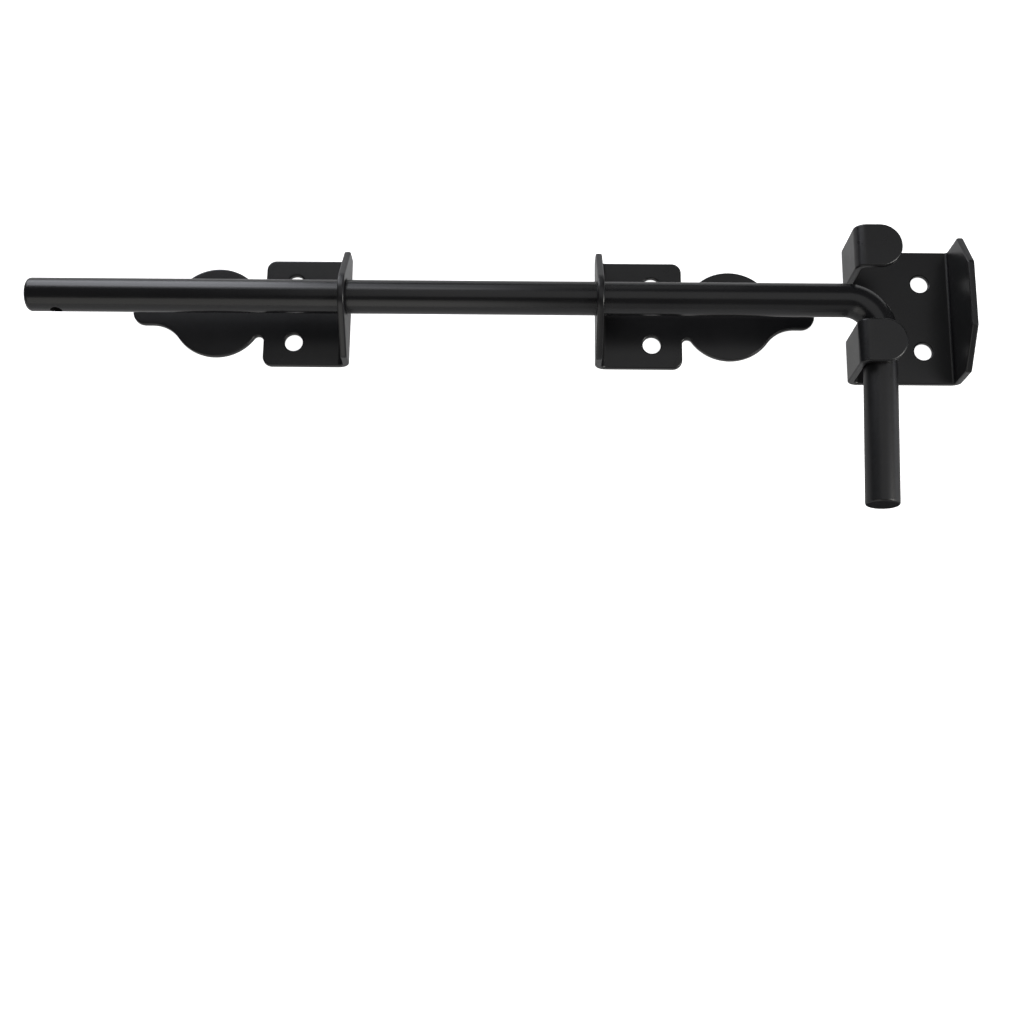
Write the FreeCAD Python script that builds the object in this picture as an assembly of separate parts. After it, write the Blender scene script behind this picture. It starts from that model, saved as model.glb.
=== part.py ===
"""Drop bolt latch for a gate: a cranked bar, two guides and a handle keeper.

Lying flat, millimetres.  X runs along the bar from its free tip towards the
handle, Y across the gate frame, Z out of the gate.  The backs of the three
plates are on Z = 0 and the origin is midway between the keeper's screw holes.
"""
import FreeCAD, Part
import math
import os
from FreeCAD import Vector as V

# --- bar stock and sheet -------------------------------------------------
BAR_D = 15.9            # round bar, 5/8 in
BAR_R = BAR_D / 2
SHEET = 3.2             # guides and keeper, 1/8 in strip
BAR_Z = 23.9            # bar centreline above the gate face

# --- drop rod --------------------------------------------------------------
ROD_OVERALL = 410.2     # free tip to the outside of the handle leg
BEND_R = 16.0           # centreline radius of the crank
BEND_ANGLE = 92.0       # the leg closes 2 degrees past square
LEG_END_Y = -99.5       # end of the leg below the bar centreline
LEG_OUTER_X = -17.85    # outermost point of the crank
TIP_ROUND = 2.4
LEG_ROUND = 1.2
CROSS_HOLE_D = 5.6      # across the bar, parallel to the handle leg
CROSS_HOLE_FROM_TIP = 14.3

# --- guides ----------------------------------------------------------------
GUIDE_W = 54.2
BLOCK_L = 42.4          # ear face to the end of the square block
BLOCK_CORNER = 4.6
GUIDE_HOLE_U = 27.7     # ear face to the screw holes
GUIDE_HOLE_PITCH = 30.2
LOBE_U = 65.4
LOBE_R = 22.6
NOTCH_R = 2.5           # round at the bottom of the waist notch
NECK_R = 16.0           # blend from lobe to tail
TAIL_HALF = 6.4
TAIL_END_U = 106.7
EAR_BEND_R = 2.6        # inside radius
EAR_SHOULDER_Z = 15.0   # straight sides up to here
EAR_SHOULDER_R = 2.4
EAR_TOP_R = 12.4        # rounded top, concentric with the bar
BAR_HOLE_D = 16.8
LOWER_EAR_X = -276.7    # outer face of each ear
UPPER_EAR_X = -158.6

# --- handle keeper -----------------------------------------------------------
KEEPER_W = 68.0
KEEPER_HOLE_PITCH = 34.8
SCREW_HOLE_D = 8.7
FLANGE_X = 17.2         # outer face of the guard flange
FLANGE_SIDE_Z = 20.5
FLANGE_TOP_Z = 35.1
FLANGE_CHAMFER_Y = 18.2
FLANGE_BEND_R = 1.3
HOOK_WALL_X = -37.75    # outer face of the hook walls
HOOK_TOP_Z = 35.5
HOOK_IN_Y = 13.0        # each hook runs from here to the plate edge
HOOK_BEND_R = 2.4
LIP_END_X = -15.8
LIP_CORNER_R = 10.4
RELIEF_X = -22.0        # bottom of the relief between the hooks
RELIEF_HALF = 11.0
RELIEF_R = 5.0

EDGE_ROUND = 0.4        # broken edges of the pressed plates


def arc(centre, radius, deg_a, deg_b):
    """Arc in a plane given as (a, b) pairs, from deg_a to deg_b."""
    pts = []
    for deg in (deg_a, (deg_a + deg_b) / 2, deg_b):
        t = math.radians(deg)
        pts.append((centre[0] + radius * math.cos(t), centre[1] + radius * math.sin(t)))
    return pts


def wire(steps, place):
    """Closed wire from points and three-point arcs; place maps (a, b) to a Vector."""
    edges, first, last = [], None, None
    for step in steps:
        pts = step if isinstance(step, list) else [step]
        if last and math.dist(last, pts[0]) > 1e-6:
            edges.append(Part.LineSegment(place(*last), place(*pts[0])).toShape())
        if len(pts) == 3:
            edges.append(Part.Arc(*[place(*p) for p in pts]).toShape())
        first = first or pts[0]
        last = pts[-1]
    if math.dist(last, first) > 1e-6:
        edges.append(Part.LineSegment(place(*last), place(*first)).toShape())
    return Part.Wire(edges)


def prism(steps, place, sweep):
    return Part.Face(wire(steps, place)).extrude(sweep)


def heading(a, b):
    """Direction in degrees from point a to point b."""
    return math.degrees(math.atan2(b[1] - a[1], b[0] - a[0]))


def mirrored(steps):
    """The same run of points and arcs on the other side of the centreline, reversed."""
    out = []
    for step in reversed(steps):
        out.append([(u, -v) for u, v in reversed(step)] if isinstance(step, list) else (step[0], -step[1]))
    return out


def soften(shape, radius, keep):
    """Round the edges picked by keep(edge)."""
    edges = [e for e in shape.Edges if keep(e)]
    return shape.makeFillet(radius, edges)


# --- drop rod --------------------------------------------------------------
def drop_rod():
    tip_x = LEG_OUTER_X - ROD_OVERALL
    bend_x = LEG_OUTER_X - BAR_R - BEND_R
    turn = math.radians(BEND_ANGLE)
    centre = V(bend_x, -BEND_R, BAR_Z)
    leg_start = centre + V(BEND_R * math.sin(turn), BEND_R * math.cos(turn), 0)
    leg_dir = V(math.cos(turn), -math.sin(turn), 0)
    leg_length = (leg_start.y - LEG_END_Y) / math.sin(turn)

    shank = Part.makeCylinder(BAR_R, bend_x - tip_x, V(tip_x, 0, BAR_Z), V(1, 0, 0))
    section = Part.Face(Part.Wire(Part.makeCircle(BAR_R, V(bend_x, 0, BAR_Z), V(1, 0, 0))))
    crank = section.revolve(centre, V(0, 0, -1), BEND_ANGLE)
    leg = Part.makeCylinder(BAR_R, leg_length, leg_start, leg_dir)
    body = shank.fuse([crank, leg]).removeSplitter()

    leg_end = leg_start + leg_dir * leg_length

    def end_ring(point):
        return lambda e: (e.Curve.TypeId == "Part::GeomCircle"
                          and (e.Curve.Center - point).Length < 0.01
                          and abs(e.Curve.Radius - BAR_R) < 0.01)

    body = soften(body, TIP_ROUND, end_ring(V(tip_x, 0, BAR_Z)))
    body = soften(body, LEG_ROUND, end_ring(leg_end))
    hole = Part.makeCylinder(CROSS_HOLE_D / 2, BAR_D + 4,
                             V(tip_x + CROSS_HOLE_FROM_TIP, -BAR_R - 2, BAR_Z), V(0, 1, 0))
    return body.cut(hole)


# --- guides ----------------------------------------------------------------
def guide_plan():
    """Half outline of the plate, from the ear end to the tail."""
    half = GUIDE_W / 2
    lobe = (LOBE_U, 0.0)
    notch_u = BLOCK_L + NOTCH_R
    notch = (notch_u, math.sqrt((LOBE_R + NOTCH_R) ** 2 - (LOBE_U - notch_u) ** 2))
    neck_v = TAIL_HALF + NECK_R
    neck = (LOBE_U + math.sqrt((LOBE_R + NECK_R) ** 2 - neck_v ** 2), neck_v)
    to_notch = heading(lobe, notch)
    to_neck = heading(lobe, neck)
    return [
        (-1.0, half),
        arc((BLOCK_L - BLOCK_CORNER, half - BLOCK_CORNER), BLOCK_CORNER, 90, 0),
        arc(notch, NOTCH_R, 180, to_notch + 180),
        arc(lobe, LOBE_R, to_notch, to_neck),
        arc(neck, NECK_R, to_neck + 180, 270),
        arc((TAIL_END_U - TAIL_HALF, 0.0), TAIL_HALF, 90, 0),
    ]


def ear_face():
    """Half outline of the ear seen along the bar, as (height, offset), from the top down."""
    half = GUIDE_W / 2
    rise = BAR_Z - EAR_SHOULDER_Z
    slope = math.degrees(math.atan2(rise, half) + math.asin(EAR_TOP_R / math.hypot(half, rise)))
    run = EAR_SHOULDER_R * math.tan(math.radians(90 - slope) / 2)
    return [
        arc((BAR_Z, 0.0), EAR_TOP_R, 0, slope),
        arc((EAR_SHOULDER_Z - run, half - EAR_SHOULDER_R), EAR_SHOULDER_R, slope, 90),
        (-1.0, half),
    ]


def guide(ear_x, side):
    """One guide; side is the way the tail points along X, +1 or -1."""
    outer = EAR_BEND_R + SHEET
    high = BAR_Z + EAR_TOP_R + 1
    profile = [
        (0.0, high), arc((outer, outer), outer, 180, 270),
        (TAIL_END_U + 1, 0.0), (TAIL_END_U + 1, SHEET),
        arc((outer, outer), EAR_BEND_R, 270, 180), (SHEET, high),
    ]
    width = GUIDE_W + 2
    bent = prism(profile, lambda u, z: V(ear_x + side * u, -width / 2, z), V(0, width, 0))
    half_plan = guide_plan()
    plan = prism(half_plan + mirrored(half_plan),
                 lambda u, v: V(ear_x + side * u, v, -1), V(0, 0, high + 2))
    half_ear = ear_face()
    ear = prism(half_ear + mirrored(half_ear),
                lambda z, y: V(ear_x - side * 2, y, z), V(side * (TAIL_END_U + 4), 0, 0))
    body = bent.common(plan).common(ear)
    body = soften(body, EDGE_ROUND, lambda e: e.Length > 0.5)
    for sign in (-1, 1):
        body = body.cut(Part.makeCylinder(
            SCREW_HOLE_D / 2, SHEET + 2,
            V(ear_x + side * GUIDE_HOLE_U, sign * GUIDE_HOLE_PITCH / 2, -1)))
    bore = Part.makeCylinder(BAR_HOLE_D / 2, 2 * SHEET,
                             V(ear_x - side * SHEET / 2, 0, BAR_Z), V(side, 0, 0))
    return body.cut(bore)


# --- handle keeper -----------------------------------------------------------
def keeper_base():
    """Screw plate with the guard flange turned up at its end."""
    outer = FLANGE_BEND_R + SHEET
    start = HOOK_WALL_X + HOOK_BEND_R + SHEET
    bend = (FLANGE_X - outer, outer)
    profile = [
        (start, 0.0), arc(bend, outer, 270, 360), (FLANGE_X, FLANGE_TOP_Z),
        (FLANGE_X - SHEET, FLANGE_TOP_Z), arc(bend, FLANGE_BEND_R, 360, 270), (start, SHEET),
    ]
    half = KEEPER_W / 2
    body = prism(profile, lambda x, z: V(x, -half, z), V(0, KEEPER_W, 0))
    for sign in (-1, 1):
        corner = [(sign * (half + 1), FLANGE_TOP_Z + 1),
                  (sign * (half - FLANGE_CHAMFER_Y), FLANGE_TOP_Z + 1),
                  (sign * (half - FLANGE_CHAMFER_Y), FLANGE_TOP_Z),
                  (sign * half, FLANGE_SIDE_Z), (sign * (half + 1), FLANGE_SIDE_Z)]
        body = body.cut(prism(corner, lambda y, z: V(FLANGE_X - SHEET - 1, y, z), V(SHEET + 2, 0, 0)))
    relief = [(start - 1, -RELIEF_HALF), arc((RELIEF_X - RELIEF_R, RELIEF_R - RELIEF_HALF), RELIEF_R, -90, 0),
              arc((RELIEF_X - RELIEF_R, RELIEF_HALF - RELIEF_R), RELIEF_R, 0, 90), (start - 1, RELIEF_HALF)]
    return body.cut(prism(relief, lambda x, y: V(x, y, -1), V(0, 0, SHEET + 2)))


def hook(sign):
    """One hook, rising from the plate edge and turned over the handle leg."""
    outer = HOOK_BEND_R + SHEET
    x0, x1 = HOOK_WALL_X, HOOK_WALL_X + outer
    top = HOOK_TOP_Z
    profile = [
        (x1, 0.0), arc((x1, outer), outer, 270, 180), arc((x1, top - outer), outer, 180, 90),
        (LIP_END_X, top), (LIP_END_X, top - SHEET),
        arc((x1, top - outer), HOOK_BEND_R, 90, 180), arc((x1, outer), HOOK_BEND_R, 180, 270),
        (x1, SHEET),
    ]
    y0 = sign * HOOK_IN_Y
    y1 = sign * KEEPER_W / 2
    bent = prism(profile, lambda x, z: V(x, y0, z), V(0, y1 - y0, 0))
    low, high = min(y0, y1), max(y0, y1)
    r = LIP_CORNER_R
    plan = [(x0 - 1, low), arc((LIP_END_X - r, low + r), r, -90, 0),
            arc((LIP_END_X - r, high - r), r, 0, 90), (x0 - 1, high)]
    return bent.common(prism(plan, lambda x, y: V(x, y, -1), V(0, 0, top + 2)))


def handle_keeper():
    body = keeper_base().fuse([hook(-1), hook(1)]).removeSplitter()
    for sign in (-1, 1):
        body = body.cut(Part.makeCylinder(SCREW_HOLE_D / 2, SHEET + 2,
                                          V(0, sign * KEEPER_HOLE_PITCH / 2, -1)))
    return body


NODES = {
    "drop_rod": drop_rod(),
    "lower_guide": guide(LOWER_EAR_X, -1),
    "upper_guide": guide(UPPER_EAR_X, 1),
    "handle_keeper": handle_keeper(),
}

os.makedirs("parts", exist_ok=True)
for name, shape in NODES.items():
    solid = shape.Solids[0] if len(shape.Solids) == 1 else shape
    box = solid.BoundBox
    print(name, "solids", len(shape.Solids), "valid", shape.isValid(), "vol", round(shape.Volume),
          [round(v, 2) for v in (box.XMin, box.XMax, box.YMin, box.YMax, box.ZMin, box.ZMax)])
    solid.exportStep(f"parts/{name}.step")
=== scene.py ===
import logging
import math
from collections.abc import Callable, Iterable, Iterator
from contextlib import contextmanager
from dataclasses import dataclass, field
from enum import Enum
from typing import Any

import bpy
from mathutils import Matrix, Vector


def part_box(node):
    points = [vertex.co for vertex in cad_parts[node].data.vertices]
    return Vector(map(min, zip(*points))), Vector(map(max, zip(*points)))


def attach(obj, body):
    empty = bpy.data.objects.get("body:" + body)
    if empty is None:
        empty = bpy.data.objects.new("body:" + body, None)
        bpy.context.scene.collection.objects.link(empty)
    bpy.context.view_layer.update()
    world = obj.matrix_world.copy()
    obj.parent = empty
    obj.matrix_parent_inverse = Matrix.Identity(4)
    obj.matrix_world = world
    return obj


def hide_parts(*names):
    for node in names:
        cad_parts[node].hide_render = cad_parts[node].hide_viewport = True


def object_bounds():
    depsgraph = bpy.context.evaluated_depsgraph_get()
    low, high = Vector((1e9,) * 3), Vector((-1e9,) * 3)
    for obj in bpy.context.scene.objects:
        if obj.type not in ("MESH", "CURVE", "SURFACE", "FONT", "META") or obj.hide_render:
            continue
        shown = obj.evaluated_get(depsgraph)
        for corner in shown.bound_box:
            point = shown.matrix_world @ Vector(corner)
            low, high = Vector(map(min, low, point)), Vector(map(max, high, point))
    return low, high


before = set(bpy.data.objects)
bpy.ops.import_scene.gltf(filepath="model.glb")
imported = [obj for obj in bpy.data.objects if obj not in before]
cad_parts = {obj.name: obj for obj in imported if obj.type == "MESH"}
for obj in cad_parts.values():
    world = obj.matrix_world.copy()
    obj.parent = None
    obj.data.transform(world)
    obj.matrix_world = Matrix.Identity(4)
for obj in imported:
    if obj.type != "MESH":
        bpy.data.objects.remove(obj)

MM = 0.001
NEAR = 1e-6             # two places closer than this are one
WELD = 0.02 * MM        # points closer than this are joined before the edges are rounded
FLAT_DEG = 0.4          # faces that turn less than this are one flat face
SMOOTH_DEG = 50.0       # shading is smooth across edges that turn less than this
STEP_DEG = 3.0          # facet of a traced arc
ARCH_REACH = 1.0        # radius of the arch of softboxes
BAR_MIDDLE = Vector((-0.2, 0, 0.02))
CAD_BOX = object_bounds()

log = logging.getLogger("drop_bolt")


# ---------------------------------------------------------------------------
# The bench: selecting, editing and modifying one piece at a time
# ---------------------------------------------------------------------------
def deselect() -> None:
    """Drop every selection, so that an operator only acts on the piece in hand."""
    for thing in bpy.context.selected_objects:
        thing.select_set(False)


def take(piece: bpy.types.Object, *others: bpy.types.Object) -> bpy.types.Object:
    """Select a piece and make it active.

    Args:
        piece: the piece that becomes active.
        others: more pieces to select with it.

    Returns:
        The active piece.
    """
    deselect()
    for thing in (*others, piece):
        thing.select_set(True)
    bpy.context.view_layer.objects.active = piece
    return piece


@contextmanager
def editing(piece: bpy.types.Object, mode: str = "VERT") -> Iterator[None]:
    """Edit mode on one piece, with nothing selected in it at the start.

    Args:
        piece: the piece to edit.
        mode: VERT, EDGE or FACE.
    """
    take(piece)
    bpy.ops.object.mode_set(mode="EDIT")
    bpy.ops.mesh.select_mode(type=mode)
    bpy.ops.mesh.select_all(action="DESELECT")
    try:
        yield
    finally:
        bpy.ops.object.mode_set(mode="OBJECT")


def pick_edges(piece: bpy.types.Object, wanted: Callable[[Vector, Vector], bool]) -> int:
    """Select edges by their place, from edit mode in edge selection.

    Args:
        piece: the piece being edited.
        wanted: takes an edge's two ends and says whether it is wanted.

    Returns:
        How many edges are selected.
    """
    bpy.ops.object.mode_set(mode="OBJECT")
    mesh = piece.data
    count = 0
    for edge in mesh.edges:
        a, b = (piece.matrix_world @ mesh.vertices[i].co for i in edge.vertices)
        edge.select = wanted(a, b)
        count += edge.select
    bpy.ops.object.mode_set(mode="EDIT")
    return count


def settle(piece: bpy.types.Object) -> bpy.types.Object:
    """Put a piece's place into its mesh, leaving the object at the origin."""
    take(piece)
    bpy.ops.object.transform_apply(location=True, rotation=True, scale=True)
    return piece


def modify(piece: bpy.types.Object, kind: str, **settings: Any) -> bpy.types.Object:
    """Add a modifier, set it and apply it.

    Args:
        piece: the piece to change.
        kind: the modifier's type.
        settings: the modifier's own settings.

    Returns:
        The same piece.
    """
    take(piece)
    bpy.ops.object.modifier_add(type=kind)
    modifier = piece.modifiers[-1]
    for name, value in settings.items():
        setattr(modifier, name, value)
    bpy.ops.object.modifier_apply(modifier=modifier.name)
    return piece


class Join(Enum):
    """How a second solid is worked into the first."""

    CUT = "DIFFERENCE"
    COMMON = "INTERSECT"


def combine(piece: bpy.types.Object, tool: bpy.types.Object, how: Join) -> bpy.types.Object:
    """Work a solid into a piece and throw the solid away.

    Args:
        piece: the piece that is kept.
        tool: the solid that is used up.
        how: cut with it, or keep what both share.

    Returns:
        The piece.
    """
    modify(piece, "BOOLEAN", object=tool, operation=how.value, solver="EXACT")
    bpy.data.objects.remove(tool)
    return piece


def drill(piece: bpy.types.Object, at: Vector, along: str, radius: float, length: float) -> None:
    """Drill a round hole.

    Args:
        piece: the piece to drill.
        at: the middle of the hole.
        along: X, Y or Z.
        radius: the hole's radius.
        length: length of the drill, centred on the hole.
    """
    turn = {"X": (0, math.pi / 2, 0), "Y": (math.pi / 2, 0, 0), "Z": (0, 0, 0)}[along]
    deselect()
    bpy.ops.mesh.primitive_cylinder_add(vertices=72, radius=radius, depth=length, location=at, rotation=turn)
    combine(piece, settle(bpy.context.object), Join.CUT)


def finish_edges(piece: bpy.types.Object, round_off: float, sharp_deg: float = 32.0) -> None:
    """Break the sharp edges of a solid and shade it, with its flats kept flat.

    Args:
        piece: the solid.
        round_off: radius of the broken edges.
        sharp_deg: edges that turn more than this are broken.
    """
    with editing(piece):
        bpy.ops.mesh.select_all(action="SELECT")
        bpy.ops.mesh.remove_doubles(threshold=WELD)
        bpy.ops.mesh.dissolve_limited(angle_limit=math.radians(FLAT_DEG))
        bpy.ops.mesh.normals_make_consistent(inside=False)
    modify(piece, "BEVEL", width=round_off, segments=3, limit_method="ANGLE",
           angle_limit=math.radians(sharp_deg), miter_outer="MITER_ARC", use_clamp_overlap=False)
    take(piece)
    bpy.ops.object.shade_smooth_by_angle(angle=math.radians(SMOOTH_DEG))
    modify(piece, "WEIGHTED_NORMAL", mode="FACE_AREA", weight=60, keep_sharp=True)


# ---------------------------------------------------------------------------
# Outlines, traced with one travelling point
# ---------------------------------------------------------------------------
class Sheet(Enum):
    """The plane that an outline is drawn on: its first axis, second axis and normal."""

    PLAN = (Vector((1, 0, 0)), Vector((0, 1, 0)), Vector((0, 0, 1)))
    SIDE = (Vector((1, 0, 0)), Vector((0, 0, 1)), Vector((0, -1, 0)))
    END = (Vector((0, 1, 0)), Vector((0, 0, 1)), Vector((1, 0, 0)))

    def place(self, a: float, b: float, level: float) -> Vector:
        """The point at (a, b) on a sheet that lies at this level along its normal."""
        first, second, normal = self.value
        return first * a + second * b + normal * level


class Outline:
    """A closed outline, traced by extruding one point and spinning it round arcs."""

    def __init__(self, name: str, sheet: Sheet, level: float, start: tuple[float, float]) -> None:
        """Put the travelling point down.

        Args:
            name: name of the solid that the outline becomes.
            sheet: the plane to draw on.
            level: the plane's place along its normal.
            start: the first point.
        """
        self.sheet, self.level, self.at = sheet, level, Vector(start)
        deselect()
        bpy.ops.mesh.primitive_plane_add(size=MM, location=sheet.place(*start, level))
        self.piece = bpy.context.object
        self.piece.name = name
        bpy.ops.object.mode_set(mode="EDIT")
        bpy.ops.mesh.select_mode(type="VERT")
        bpy.ops.mesh.select_all(action="SELECT")
        bpy.ops.mesh.merge(type="CENTER")

    def line(self, a: float, b: float) -> "Outline":
        """Draw a straight line to (a, b)."""
        step = self.sheet.place(a, b, 0) - self.sheet.place(*self.at, 0)
        if step.length > 0.1 * NEAR:
            bpy.ops.mesh.extrude_region_move(TRANSFORM_OT_translate={"value": step})
            self.at = Vector((a, b))
        return self

    def arc(self, centre: tuple[float, float], radius: float, start: float, stop: float) -> "Outline":
        """Draw an arc, with a straight line to its start where there is a gap.

        Args:
            centre: the arc's centre.
            radius: its radius.
            start: direction of its start from the centre, in degrees.
            stop: direction of its end.

        Returns:
            The outline, so that calls can follow each other.
        """
        middle = Vector(centre)
        a, b = (math.radians(deg) for deg in (start, stop))
        self.line(*(middle + radius * Vector((math.cos(a), math.sin(a)))))
        steps = max(2, round(abs(stop - start) / STEP_DEG))
        bpy.ops.mesh.spin(steps=steps, angle=a - b, center=self.sheet.place(*centre, self.level),
                          axis=self.sheet.value[2])
        self.at = middle + radius * Vector((math.cos(b), math.sin(b)))
        return self

    def solid(self, thickness: float) -> bpy.types.Object:
        """Close the outline, fill it and pull it out along the normal into a solid."""
        bpy.ops.mesh.select_all(action="SELECT")
        bpy.ops.mesh.remove_doubles(threshold=0.002 * MM)
        bpy.ops.mesh.edge_face_add()
        bpy.ops.mesh.extrude_region_move(TRANSFORM_OT_translate={"value": self.sheet.value[2] * thickness})
        bpy.ops.mesh.select_all(action="SELECT")
        bpy.ops.mesh.normals_make_consistent(inside=False)
        bpy.ops.object.mode_set(mode="OBJECT")
        return settle(self.piece)


# ---------------------------------------------------------------------------
# Finishes
# ---------------------------------------------------------------------------
class Num:
    """A value socket that Python arithmetic turns into Math nodes."""

    def __init__(self, graph: "Graph", socket: bpy.types.NodeSocket) -> None:
        """Wrap a socket of the graph."""
        self.graph, self.socket = graph, socket

    def _math(self, operation: str, *values: "Num | float") -> "Num":
        """One Math node on these values."""
        return self.graph.value("ShaderNodeMath", {"operation": operation}, *values)

    def __add__(self, other: "Num | float") -> "Num":
        """Sum."""
        return self._math("ADD", self, other)

    __radd__ = __add__

    def __sub__(self, other: "Num | float") -> "Num":
        """Difference."""
        return self._math("SUBTRACT", self, other)

    def __rsub__(self, other: float) -> "Num":
        """Difference from a number."""
        return self._math("SUBTRACT", other, self)

    def __mul__(self, other: "Num | float") -> "Num":
        """Product."""
        return self._math("MULTIPLY", self, other)

    __rmul__ = __mul__

    def above(self, threshold: float, softness: float) -> "Num":
        """A mask that rises from 0 to 1 over softness, starting at threshold."""
        settings = {"interpolation_type": "SMOOTHSTEP"}
        return self.graph.value("ShaderNodeMapRange", settings, self, threshold, threshold + softness)


class Graph:
    """The node tree of one finish."""

    def __init__(self, name: str) -> None:
        """Start a material with an empty tree."""
        self.material = bpy.data.materials.new(name)
        self.material.use_nodes = True
        self.tree = self.material.node_tree
        self.tree.nodes.clear()

    def node(self, kind: str, settings: dict[str, Any] | None = None,
             inputs: dict[str | int, Any] | None = None) -> bpy.types.Node:
        """Make a node: its type, then its settings, then its sockets.

        Args:
            kind: the node's type.
            settings: attributes, set before any socket.
            inputs: socket name or index to a value, a Num or a socket.

        Returns:
            The node.
        """
        made = self.tree.nodes.new(kind)
        for name, value in (settings or {}).items():
            setattr(made, name, value)
        for key, value in (inputs or {}).items():
            value = value.socket if isinstance(value, Num) else value
            if isinstance(value, bpy.types.NodeSocket):
                self.tree.links.new(value, made.inputs[key])
            else:
                made.inputs[key].default_value = value
        return made

    def value(self, kind: str, settings: dict[str, Any], *values: "Num | float") -> Num:
        """A node whose first output is one number, fed with these values in order."""
        return Num(self, self.node(kind, settings, dict(enumerate(values))).outputs[0])

    def place(self, stretch: tuple[float, float, float] = (1, 1, 1)) -> bpy.types.NodeSocket:
        """Object coordinates in millimetres, squeezed by stretch on each axis."""
        where = self.node("ShaderNodeTexCoord").outputs["Object"]
        scale = tuple(1000.0 * s for s in stretch)
        return self.node("ShaderNodeMapping", None, {"Vector": where, "Scale": scale}).outputs[0]

    def axis(self, where: bpy.types.NodeSocket, name: str) -> Num:
        """One component, X, Y or Z, of the coordinates."""
        return Num(self, self.node("ShaderNodeSeparateXYZ", None, {"Vector": where}).outputs[name])

    def noise(self, where: bpy.types.NodeSocket, size: float, detail: float = 3.0, rough: float = 0.5) -> Num:
        """Fractal noise.

        Args:
            where: the coordinates, in millimetres.
            size: width of its largest patches, in millimetres.
            detail: octaves.
            rough: weight of the finer octaves.

        Returns:
            The noise, about 0 to 1 around 0.5.
        """
        made = self.node("ShaderNodeTexNoise", {"noise_dimensions": "3D"},
                         {"Vector": where, "Scale": 1 / size, "Detail": detail, "Roughness": rough})
        return Num(self, made.outputs["Fac"])

    def specks(self, where: bpy.types.NodeSocket, spacing: float, radius: float) -> Num:
        """Round specks, one to a cell, as a mask.

        Args:
            where: the coordinates, in millimetres.
            spacing: width of a cell.
            radius: radius of the largest speck.

        Returns:
            1 inside a speck and 0 elsewhere.
        """
        made = self.node("ShaderNodeTexVoronoi", {"feature": "F1"}, {"Vector": where, "Scale": 1 / spacing})
        reach = Num(self, made.outputs["Distance"])
        return 1 - reach.above(0.35 * radius / spacing, 0.65 * radius / spacing)

    def mix(self, share: Num, low: tuple[float, ...] | bpy.types.NodeSocket,
            high: tuple[float, ...] | bpy.types.NodeSocket) -> bpy.types.NodeSocket:
        """Blend two colours."""
        made = self.node("ShaderNodeMix", {"data_type": "RGBA"}, {"Factor": share, 6: low, 7: high})
        return made.outputs[2]

    def bump(self, height: Num, depth: float,
             under: bpy.types.NodeSocket | None = None) -> bpy.types.NodeSocket:
        """A bump of this depth in millimetres, over another where one is given."""
        inputs: dict[str | int, Any] = {"Height": height, "Distance": depth * MM, "Strength": 1.0}
        if under:
            inputs["Normal"] = under
        return self.node("ShaderNodeBump", None, inputs).outputs[0]

    def surface(self, **inputs: Any) -> bpy.types.Material:
        """Close the tree with a Principled shader, whose sockets take these inputs."""
        sockets = {name.replace("_", " "): value for name, value in inputs.items()}
        shader = self.node("ShaderNodeBsdfPrincipled", None, sockets)
        self.node("ShaderNodeOutputMaterial", None, {"Surface": shader.outputs[0]})
        return self.material


@dataclass(frozen=True)
class PowderCoat:
    """Satin black powder coat, with its orange peel, cloudy gloss and a few dust nibs."""

    name: str
    gloss: float                    # roughness of the cured film
    gloss_swing: float              # how far the roughness strays with cloud and haze
    shade: tuple[float, float, float] = (0.0062, 0.0062, 0.0070)
    pale: tuple[float, float, float] = (0.0110, 0.0110, 0.0120)
    cloud_width: float = 38.0       # widths in mm
    haze_width: float = 7.0
    grit_width: float = 0.45
    grit_depth: float = 0.0035      # depths in mm
    peel: float = 1.5
    peel_depth: float = 0.010
    grain: tuple[float, float, float] = (1.0, 1.0, 1.0)
    nib_spacing: float = 9.0
    nib_radius: float = 0.22
    nib_colour: tuple[float, float, float] = (0.11, 0.11, 0.11)
    dull_from: float = 22.0         # how far down the handle leg the coat is handled, mm
    dull_blend: float = 14.0
    dulling: float = 0.0            # roughness that the handling adds

    def material(self) -> bpy.types.Material:
        """Build the finish."""
        graph = Graph(self.name)
        where = graph.place()
        drawn = graph.place(self.grain)
        cloud = graph.noise(where, self.cloud_width, 2.0)
        haze = graph.noise(drawn, self.haze_width, 4.0, 0.6)
        grit = graph.noise(where, self.grit_width, 2.0)
        peel = graph.noise(where, self.peel, 2.0, 0.35)
        nibs = graph.specks(where, self.nib_spacing, self.nib_radius)
        tone = (cloud * 0.6 + haze * 0.5 + grit * 0.35 - 0.42).above(0.05, 0.75)
        colour = graph.mix(tone, (*self.shade, 1), (*self.pale, 1))
        colour = graph.mix(nibs * 0.5, colour, (*self.nib_colour, 1))
        stray = haze * 0.65 + cloud * 0.35 - 0.5
        rough = stray * self.gloss_swing + grit * 0.05 + (self.gloss - 0.025)
        if self.dulling:
            down_leg = -1 * graph.axis(where, "Y")
            rough = rough + down_leg.above(self.dull_from, self.dull_blend) * self.dulling
        film = graph.bump(peel, self.peel_depth)
        film = graph.bump(grit + nibs * 1.5, self.grit_depth, film)
        return graph.surface(Base_Color=colour, Roughness=rough, Normal=film, Specular_IOR_Level=0.5)


class Finish(Enum):
    """The two ways that the coat lies: over drawn bar and over pressed plate."""

    BAR = PowderCoat("black_coated_bar", gloss=0.23, gloss_swing=0.05, grain=(0.12, 1.0, 1.0),
                     peel=1.9, peel_depth=0.008, dulling=0.14)
    PLATE = PowderCoat("black_coated_plate", gloss=0.29, gloss_swing=0.06)


def dress(piece: bpy.types.Object, material: bpy.types.Material) -> None:
    """Give a piece its one finish."""
    piece.data.materials.clear()
    piece.data.materials.append(material)


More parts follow.
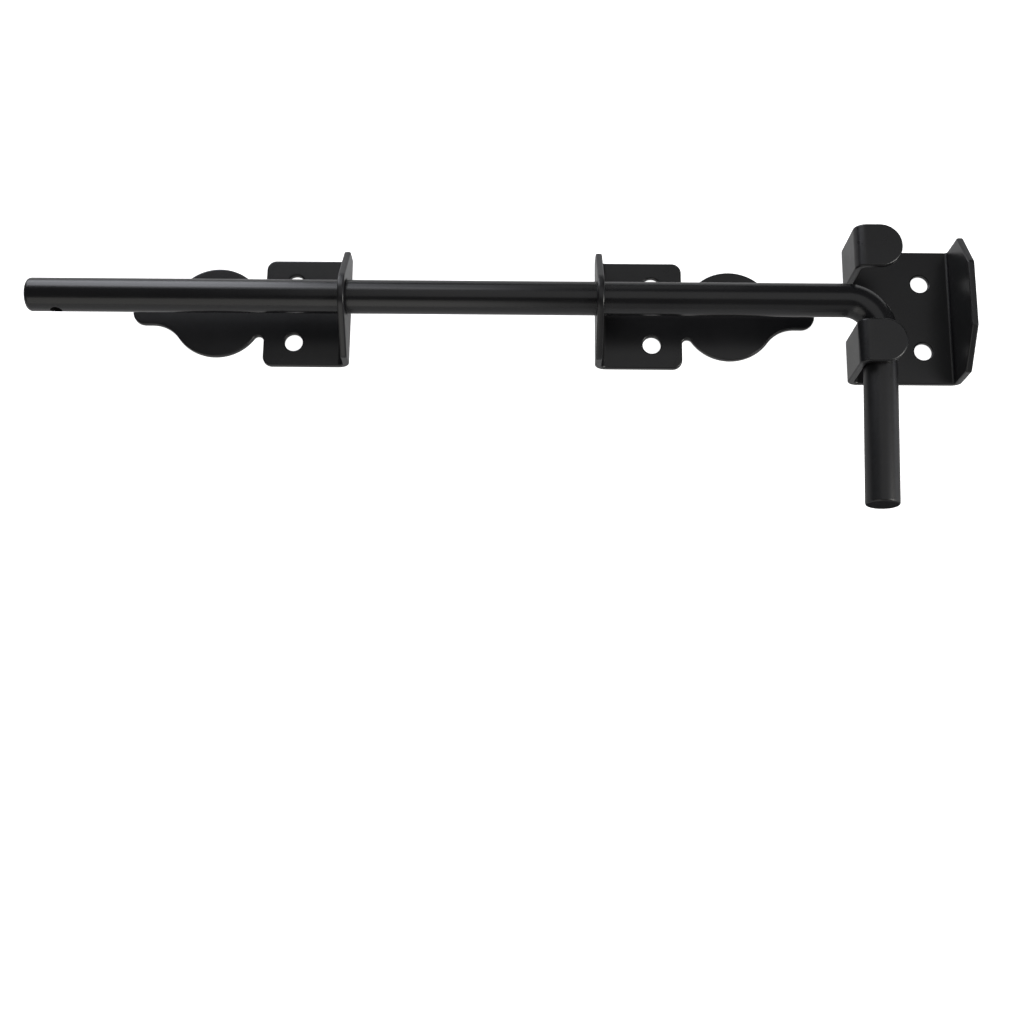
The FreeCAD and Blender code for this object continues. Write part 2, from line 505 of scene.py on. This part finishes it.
# ---------------------------------------------------------------------------
# The latch
# ---------------------------------------------------------------------------
@dataclass
class DropRod:
    """The cranked bar: shank, bend and handle leg, with a lock hole near its free tip."""

    node: str = "drop_rod"
    sides: int = 96
    bend_steps: int = 46
    rim_steps: int = 8
    bend_radius: float = 16.0 * MM
    bend_angle: float = 92.0
    tip_round: float = 2.4 * MM
    leg_round: float = 1.2 * MM
    hole_radius: float = 2.8 * MM
    hole_from_tip: float = 14.3 * MM

    def build(self) -> bpy.types.Object:
        """Extrude a disc along the shank, spin it round the bend and extrude the leg.

        Returns:
            The bar.
        """
        low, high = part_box(self.node)
        radius = (high.z - low.z) / 2
        axis_z = (high.z + low.z) / 2
        turn = math.radians(self.bend_angle)
        bend_x = high.x - radius - self.bend_radius
        heading = Vector((math.cos(turn), -math.sin(turn), 0))
        leg_start_y = -self.bend_radius * (1 - math.cos(turn))
        centre_end_y = low.y + (radius - self.leg_round) * abs(math.cos(turn))
        leg_length = (leg_start_y - centre_end_y) / math.sin(turn)

        deselect()
        bpy.ops.mesh.primitive_circle_add(vertices=self.sides, radius=radius, fill_type="NGON",
                                          location=(low.x, 0, axis_z), rotation=(0, math.pi / 2, 0))
        bar = bpy.context.object
        bar.name = "cranked_bar"
        bpy.ops.object.mode_set(mode="EDIT")
        bpy.ops.mesh.select_mode(type="FACE")
        bpy.ops.mesh.select_all(action="SELECT")
        bpy.ops.mesh.extrude_region_move(TRANSFORM_OT_translate={"value": (bend_x - low.x, 0, 0)})
        bpy.ops.mesh.spin(steps=self.bend_steps, angle=turn, center=(bend_x, -self.bend_radius, axis_z),
                          axis=(0, 0, 1))
        bpy.ops.mesh.extrude_region_move(TRANSFORM_OT_translate={"value": heading * leg_length})
        bpy.ops.mesh.select_all(action="SELECT")
        bpy.ops.mesh.remove_doubles(threshold=0.001 * MM)
        bpy.ops.mesh.normals_make_consistent(inside=False)
        bpy.ops.object.mode_set(mode="OBJECT")
        settle(bar)

        pivot = Vector((bend_x, -self.bend_radius, 0))
        end = pivot + self.bend_radius * Vector((math.sin(turn), math.cos(turn), 0)) + heading * leg_length
        self.round_end(bar, lambda p: abs(p.x - low.x) < NEAR, self.tip_round)
        self.round_end(bar, lambda p: abs((p - end).dot(heading)) < NEAR, self.leg_round)
        drill(bar, Vector((low.x + self.hole_from_tip, 0, axis_z)), "Y", self.hole_radius, 3 * radius)
        take(bar)
        bpy.ops.object.shade_smooth_by_angle(angle=math.radians(35))
        return bar

    def round_end(self, bar: bpy.types.Object, on_end: Callable[[Vector], bool], radius: float) -> None:
        """Round the rim of one end of the bar."""
        with editing(bar, "EDGE"):
            picked = pick_edges(bar, lambda a, b: on_end(a) and on_end(b))
            bpy.ops.mesh.bevel(offset=radius, segments=self.rim_steps, affect="EDGES", clamp_overlap=False)
        log.info("rounded %d rim edges by %.1f mm", picked, radius / MM)


@dataclass
class GuidePair:
    """The two eared guides, which are one pressing, the second turned end for end."""

    upper_node: str = "upper_guide"
    lower_node: str = "lower_guide"
    sheet: float = 3.2 * MM
    bar_z: float = 23.9 * MM
    block_length: float = 42.4 * MM
    block_corner: float = 4.6 * MM
    hole_u: float = 27.7 * MM
    hole_pitch: float = 30.2 * MM
    hole_radius: float = 4.35 * MM
    lobe_u: float = 65.4 * MM
    lobe_radius: float = 22.6 * MM
    notch_radius: float = 2.5 * MM
    neck_radius: float = 16.0 * MM
    tail_half: float = 6.4 * MM
    bend_inside: float = 2.6 * MM
    shoulder_z: float = 15.0 * MM
    shoulder_radius: float = 2.4 * MM
    top_radius: float = 12.4 * MM
    bore_radius: float = 8.4 * MM
    blank_top: float = 45.0 * MM    # the ear starts this tall and is trimmed to its outline
    edge: float = 0.8 * MM

    def build(self) -> tuple[bpy.types.Object, bpy.types.Object]:
        """Make the upper guide and turn a copy of it round for the lower one.

        Returns:
            The upper and the lower guide.
        """
        low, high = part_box(self.upper_node)
        far_low, far_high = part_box(self.lower_node)
        upper = self.pressing(low.x, high.x - low.x, high.y - low.y)
        take(upper)
        bpy.ops.object.duplicate(linked=False)
        lower = bpy.context.object
        lower.name = "guide_lower"
        middle = Vector(((low.x + far_high.x) / 2, 0, 0))
        bpy.ops.transform.rotate(value=math.pi, orient_axis="Z", center_override=middle)
        return upper, settle(lower)

    def pressing(self, ear_x: float, length: float, width: float) -> bpy.types.Object:
        """One guide, with its ear at the low end of X.

        Args:
            ear_x: outer face of the ear.
            length: ear face to the end of the tail.
            width: across the block.

        Returns:
            The guide.
        """
        outer = self.bend_inside + self.sheet
        over = self.blank_top
        half = width / 2
        strip = Outline("guide_upper", Sheet.SIDE, -half - MM, (ear_x, over))
        strip.arc((ear_x + outer, outer), outer, 180, 270).line(ear_x + length + MM, 0)
        strip.line(ear_x + length + MM, self.sheet)
        strip.arc((ear_x + outer, outer), self.bend_inside, 270, 180).line(ear_x + self.sheet, over)
        guide = strip.solid(width + 2 * MM)
        combine(guide, self.plan(ear_x, length, half, over), Join.COMMON)
        combine(guide, self.ear(ear_x, length, half), Join.COMMON)
        for side in (-1, 1):
            hole = Vector((ear_x + self.hole_u, side * self.hole_pitch / 2, self.sheet / 2))
            drill(guide, hole, "Z", self.hole_radius, 4 * self.sheet)
        drill(guide, Vector((ear_x + self.sheet / 2, 0, self.bar_z)), "X", self.bore_radius, 3 * self.sheet)
        finish_edges(guide, self.edge)
        return guide

    def plan(self, ear_x: float, length: float, half: float, height: float) -> bpy.types.Object:
        """The guide's outline from the front: block, waist, lobe, neck and tail."""
        notch_u = self.block_length + self.notch_radius
        notch_v = math.sqrt((self.lobe_radius + self.notch_radius) ** 2 - (self.lobe_u - notch_u) ** 2)
        neck_v = self.tail_half + self.neck_radius
        neck_u = self.lobe_u + math.sqrt((self.lobe_radius + self.neck_radius) ** 2 - neck_v ** 2)
        to_notch = math.degrees(math.atan2(notch_v, notch_u - self.lobe_u))
        to_neck = math.degrees(math.atan2(neck_v, neck_u - self.lobe_u))
        corner = (ear_x + self.block_length - self.block_corner, half - self.block_corner)
        notch, neck = (ear_x + notch_u, notch_v), (ear_x + neck_u, neck_v)
        lobe, tail = (ear_x + self.lobe_u, 0.0), (ear_x + length - self.tail_half, 0.0)

        line = Outline("plan", Sheet.PLAN, -MM, (ear_x - MM, half))
        line.arc(corner, self.block_corner, 90, 0).arc(notch, self.notch_radius, 180, to_notch + 180)
        line.arc(lobe, self.lobe_radius, to_notch, to_neck)
        line.arc(neck, self.neck_radius, to_neck + 180, 270)
        line.arc(tail, self.tail_half, 90, -90)
        line.arc((neck[0], -neck[1]), self.neck_radius, 90, 180 - to_neck)
        line.arc(lobe, self.lobe_radius, -to_neck, -to_notch)
        line.arc((notch[0], -notch[1]), self.notch_radius, 180 - to_notch, 180)
        line.arc((corner[0], -corner[1]), self.block_corner, 0, -90).line(ear_x - MM, -half)
        return line.solid(height + 2 * MM)

    def ear(self, ear_x: float, length: float, half: float) -> bpy.types.Object:
        """The ear's outline seen along the bar, swept the whole length of the guide."""
        rise = self.bar_z - self.shoulder_z
        slope = math.degrees(math.atan2(rise, half) + math.asin(self.top_radius / math.hypot(half, rise)))
        flank = 90 - slope
        run = self.shoulder_radius * math.tan(math.radians(flank) / 2)
        corner = (half - self.shoulder_radius, self.shoulder_z - run)
        line = Outline("ear", Sheet.END, ear_x - 2 * MM, (half, -MM))
        line.arc(corner, self.shoulder_radius, 0, flank)
        line.arc((0.0, self.bar_z), self.top_radius, flank, 180 - flank)
        line.arc((-corner[0], corner[1]), self.shoulder_radius, 180 - flank, 180).line(-half, -MM)
        return line.solid(length + 4 * MM)


@dataclass
class HandleKeeper:
    """The keeper: screw plate, two turned-over hooks and the guard flange."""

    node: str = "handle_keeper"
    sheet: float = 3.2 * MM
    hole_pitch: float = 34.8 * MM
    hole_radius: float = 4.35 * MM
    flange_bend: float = 1.3 * MM
    flange_side_z: float = 20.5 * MM
    flange_top_z: float = 35.1 * MM
    flange_chamfer: float = 18.2 * MM
    hook_bend: float = 2.4 * MM
    hook_gap_half: float = 13.0 * MM
    lip_end_x: float = -15.8 * MM
    lip_corner: float = 10.4 * MM
    relief_x: float = -22.0 * MM
    relief_half: float = 11.0 * MM
    relief_corner: float = 5.0 * MM
    lip_steps: int = 24
    edge: float = 0.8 * MM

    def build(self) -> bpy.types.Object:
        """Bend the whole strip in one outline, then open it between and around the hooks.

        Returns:
            The keeper.
        """
        low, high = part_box(self.node)
        half = (high.y - low.y) / 2
        keeper = self.strip(low.x, high.x, high.z).solid(2 * half)
        self.open_hooks(keeper, low.x, high.z)
        self.round_lips(keeper)
        for side in (-1, 1):
            combine(keeper, self.chamfer_wedge(high.x, side, half), Join.CUT)
            hole = Vector((0, side * self.hole_pitch / 2, self.sheet / 2))
            drill(keeper, hole, "Z", self.hole_radius, 4 * self.sheet)
        finish_edges(keeper, self.edge)
        return keeper

    def strip(self, wall_x: float, flange_x: float, top: float) -> Outline:
        """The bent strip seen from the side: hook lip, hook wall, plate and flange."""
        hook_out = self.hook_bend + self.sheet
        flange_out = self.flange_bend + self.sheet
        hook_x = wall_x + hook_out
        flange = (flange_x - flange_out, flange_out)
        line = Outline("keeper", Sheet.SIDE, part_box(self.node)[0].y, (self.lip_end_x, top))
        line.arc((hook_x, top - hook_out), hook_out, 90, 180)
        line.arc((hook_x, hook_out), hook_out, 180, 270)
        line.arc(flange, flange_out, 270, 360)
        line.line(flange_x, self.flange_top_z).line(flange_x - self.sheet, self.flange_top_z)
        line.arc(flange, self.flange_bend, 360, 270)
        line.arc((hook_x, hook_out), self.hook_bend, 270, 180)
        line.arc((hook_x, top - hook_out), self.hook_bend, 180, 90)
        return line.line(self.lip_end_x, top - self.sheet)

    def open_hooks(self, keeper: bpy.types.Object, wall_x: float, top: float) -> None:
        """Cut the gap between the hooks and the rounded relief below it."""
        start = wall_x + self.hook_bend + self.sheet
        gap = self.hook_gap_half
        for x0, x1, z0, z1 in ((wall_x - MM, start, -MM, top + MM), (start - MM, -MM, top / 2, top + MM)):
            deselect()
            bpy.ops.mesh.primitive_cube_add(size=1, location=((x0 + x1) / 2, 0, (z0 + z1) / 2),
                                            scale=(x1 - x0, 2 * gap, z1 - z0))
            combine(keeper, settle(bpy.context.object), Join.CUT)
        corner = (self.relief_x - self.relief_corner, self.relief_half - self.relief_corner)
        line = Outline("relief", Sheet.PLAN, -MM, (start - MM, -self.relief_half))
        line.arc((corner[0], -corner[1]), self.relief_corner, -90, 0)
        line.arc(corner, self.relief_corner, 0, 90).line(start - MM, self.relief_half)
        combine(keeper, line.solid(self.sheet + 2 * MM), Join.CUT)

    def round_lips(self, keeper: bpy.types.Object) -> None:
        """Round the four corners of the hook lips in plan."""
        def upright(a: Vector, b: Vector) -> bool:
            """Whether an edge is one of the lips' upright end corners."""
            at_end = max(abs(p.x - self.lip_end_x) for p in (a, b)) < NEAR
            return at_end and abs(a.y - b.y) < NEAR and abs(a.z - b.z) > 0.5 * self.sheet
        with editing(keeper, "EDGE"):
            picked = pick_edges(keeper, upright)
            bpy.ops.mesh.bevel(offset=self.lip_corner, segments=self.lip_steps, affect="EDGES",
                               clamp_overlap=False)
        log.info("rounded %d lip corners", picked)

    def chamfer_wedge(self, flange_x: float, side: int, half: float) -> bpy.types.Object:
        """The wedge that cuts one corner off the flange."""
        inner, outer = side * (half - self.flange_chamfer), side * (half + 2 * MM)
        line = Outline("wedge", Sheet.END, flange_x - self.sheet - MM, (inner, self.flange_top_z + 2 * MM))
        line.line(inner, self.flange_top_z).line(side * half, self.flange_side_z)
        line.line(outer, self.flange_side_z).line(outer, self.flange_top_z + 2 * MM)
        return line.solid(self.sheet + 2 * MM)


# ---------------------------------------------------------------------------
# The studio
# ---------------------------------------------------------------------------
class Tint(Enum):
    """The colours that the softboxes come in."""

    NEUTRAL = (1.0, 1.0, 1.0)
    COOL = (0.96, 0.98, 1.05)
    WARM = (1.03, 1.01, 0.96)


@dataclass(frozen=True)
class Softbox:
    """One flat panel of light, facing the bar."""

    name: str
    place: tuple[float, float, float]
    size: tuple[float, float]   # along and across
    glow: float                 # radiance
    tint: Tint = Tint.NEUTRAL
    turn_deg: tuple[float, float, float] | None = None

    def build(self) -> bpy.types.Object:
        """Hang the panel, aimed at the bar's middle unless it has a turn of its own."""
        lamp = bpy.data.lights.new(self.name, "AREA")
        lamp.shape, lamp.size, lamp.size_y = "RECTANGLE", *self.size
        lamp.energy, lamp.color = math.pi * self.size[0] * self.size[1] * self.glow, self.tint.value
        made = bpy.data.objects.new(self.name, lamp)
        bpy.context.scene.collection.objects.link(made)
        made.location = self.place
        aim = BAR_MIDDLE - made.location
        made.rotation_euler = aim.to_track_quat("-Z", "Y").to_euler()
        if self.turn_deg:
            made.rotation_euler = tuple(math.radians(deg) for deg in self.turn_deg)
        return made


def over_bar(name: str, lean_deg: float, width: float, span: tuple[float, float], glow: float,
             tint: Tint = Tint.NEUTRAL) -> Softbox:
    """A panel on the arch of softboxes that stands over the bar, parallel to it.

    Args:
        name: the lamp's name.
        lean_deg: from straight overhead towards the far side.
        width: across the bar.
        span: where the panel starts and stops along the bar.
        glow: radiance.
        tint: colour of the light.

    Returns:
        The panel.
    """
    lean = math.radians(lean_deg)
    place = (sum(span) / 2, ARCH_REACH * math.sin(lean), BAR_MIDDLE.z + ARCH_REACH * math.cos(lean))
    return Softbox(name, place, (span[1] - span[0], width), glow, tint, (-lean_deg, 0, 0))


@dataclass
class Studio:
    """The white table, the grey card, the softboxes and the camera."""

    lights: list[Softbox] = field(default_factory=lambda: [
        over_bar("back_far_left", 60, 0.63, (-1.3, -0.5), 3.2, Tint.COOL),
        over_bar("back_left", 54, 0.84, (-0.8, -0.25), 1.0, Tint.COOL),
        over_bar("back_left_high", 42, 0.30, (-0.8, -0.25), 0.9),
        over_bar("back_middle", 66, 0.60, (-0.25, 0.05), 0.25),
        over_bar("back_low", 84, 0.21, (-1.3, -0.5), 4.0, Tint.COOL),
        over_bar("front_left", -66, 0.84, (-1.3, -0.25), 0.75, Tint.WARM),
        over_bar("front_left_core", -66, 0.42, (-0.8, -0.5), 2.0),
        over_bar("front_right", -72, 0.63, (-0.5, 0.4), 0.3),
        over_bar("overhead", 6, 0.84, (-0.5, 0.4), 0.5),
        over_bar("overhead_right", 0, 0.84, (0.4, 1.2), 0.6, Tint.COOL),
        Softbox("side_high", (1.2, -0.5, 0.9), (0.8, 0.6), 11.0, Tint.WARM),
        Softbox("side_low", (1.2, 0.0, 0.15), (1.2, 0.25), 1.5, Tint.COOL),
    ])
    bounce: float = 0.30        # what the table gives back to the latch
    card_from: float = -98.0 * MM   # the grey card lies just past the handle leg's end
    card_size: float = 60.0 * MM
    room_strength: float = 0.05
    table_size: float = 6.0
    table_glow: float = 1.0
    table_drop: float = 0.30 * MM   # below the plates' backs
    bounce_drop: float = 0.60 * MM
    card_drop: float = 0.45 * MM
    camera_place: tuple[float, float, float] = (-0.1913, -0.2639, 0.6676)
    camera_turn_deg: tuple[float, float, float] = (13.94, 0.39, 0.62)
    camera_lens: float = 51.22

    def build(self) -> None:
        """Set the whole studio up."""
        for box in self.lights:
            box.build()
        self.table()
        self.grey_card()
        self.surroundings()
        self.camera()

    def table(self) -> None:
        """Lay the white table top, and under it the dimmer sheet that the latch mirrors."""
        for name, glow, drop, seen in (
            ("table_top", self.table_glow, self.table_drop, True),
            ("table_bounce", self.bounce, self.bounce_drop, False),
        ):
            top = self.lay(name, self.table_size, CAD_BOX[0].x / 2, 0, drop)
            graph = Graph(f"{name}_white")
            mottle = graph.noise(graph.place(), 60.0, 2.0)
            shade = graph.mix(mottle, (0.86, 0.86, 0.86, 1), (0.90, 0.90, 0.90, 1))
            material = graph.surface(Base_Color=shade, Roughness=0.8, Emission_Color=(1, 1, 1, 1),
                                     Emission_Strength=glow)
            top.data.materials.append(material)
            top.visible_camera = seen
            top.visible_diffuse = top.visible_glossy = not seen
            top.visible_shadow = seen
            settle(top)

    def lay(self, name: str, size: float, x: float, y: float, drop: float) -> bpy.types.Object:
        """Lay a square sheet under the latch.

        Args:
            name: the sheet's name.
            size: length of its sides.
            x: its middle along the bar.
            y: its middle across the bar.
            drop: how far it lies below the plates' backs.

        Returns:
            The sheet.
        """
        deselect()
        bpy.ops.mesh.primitive_plane_add(size=size, location=(x, y, CAD_BOX[0].z - drop))
        sheet = bpy.context.object
        sheet.name = name
        return sheet

    def grey_card(self) -> None:
        """Lay a card that keeps the table's glare out of the end of the handle leg."""
        half = self.card_size / 2
        card = self.lay("grey_card", self.card_size, CAD_BOX[1].x - half, self.card_from - half,
                        self.card_drop)
        graph = Graph("card_grey")
        mottle = graph.noise(graph.place(), 5.0, 2.0)
        shade = graph.mix(mottle, (0.17, 0.17, 0.17, 1), (0.19, 0.19, 0.19, 1))
        card.data.materials.append(graph.surface(Base_Color=shade, Roughness=0.9))
        card.visible_camera = False
        settle(card)

    def surroundings(self) -> None:
        """Light the room evenly and dimly."""
        world = bpy.data.worlds.new("room")
        world.use_nodes = True
        background = world.node_tree.nodes["Background"]
        background.inputs["Color"].default_value = (*Tint.NEUTRAL.value, 1)
        background.inputs["Strength"].default_value = self.room_strength
        bpy.context.scene.world = world
        bpy.context.scene.view_settings.view_transform = "Standard"

    def camera(self) -> None:
        """Put the camera up, looking down on the latch from the handle's side."""
        eye = bpy.data.objects.new("camera", bpy.data.cameras.new("camera"))
        bpy.context.scene.collection.objects.link(eye)
        eye.data.lens, eye.data.sensor_width = self.camera_lens, 36.0
        eye.data.clip_start, eye.data.clip_end = 0.01, 50.0
        eye.location = self.camera_place
        eye.rotation_euler = tuple(math.radians(deg) for deg in self.camera_turn_deg)
        bpy.context.scene.camera = eye


def report(pieces: Iterable[bpy.types.Object]) -> None:
    """Log each piece's size and face count."""
    for piece in pieces:
        size = " x ".join(f"{d / MM:.1f}" for d in piece.dimensions)
        log.info("%s: %s mm, %d faces", piece.name, size, len(piece.data.polygons))


def main() -> None:
    """Build the latch, dress it and set up the studio."""
    logging.basicConfig(level=logging.INFO, format="%(name)s: %(message)s")
    bar_coat, plate_coat = (finish.value.material() for finish in (Finish.BAR, Finish.PLATE))
    bar = DropRod().build()
    upper, lower = GuidePair().build()
    keeper = HandleKeeper().build()
    for piece, node, body, coat, slot in (
        (bar, "drop_rod", "bolt", bar_coat, "black_coated_bar"),
        (upper, "upper_guide", "brackets", plate_coat, "black_coated_plate"),
        (lower, "lower_guide", "brackets", plate_coat, "black_coated_plate"),
        (keeper, "handle_keeper", "brackets", plate_coat, "black_coated_plate"),
    ):
        dress(piece, coat)
        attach(piece, body)
        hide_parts(node)
    report((bar, upper, lower, keeper))
    Studio().build()


if __name__ == "__main__":
    main()
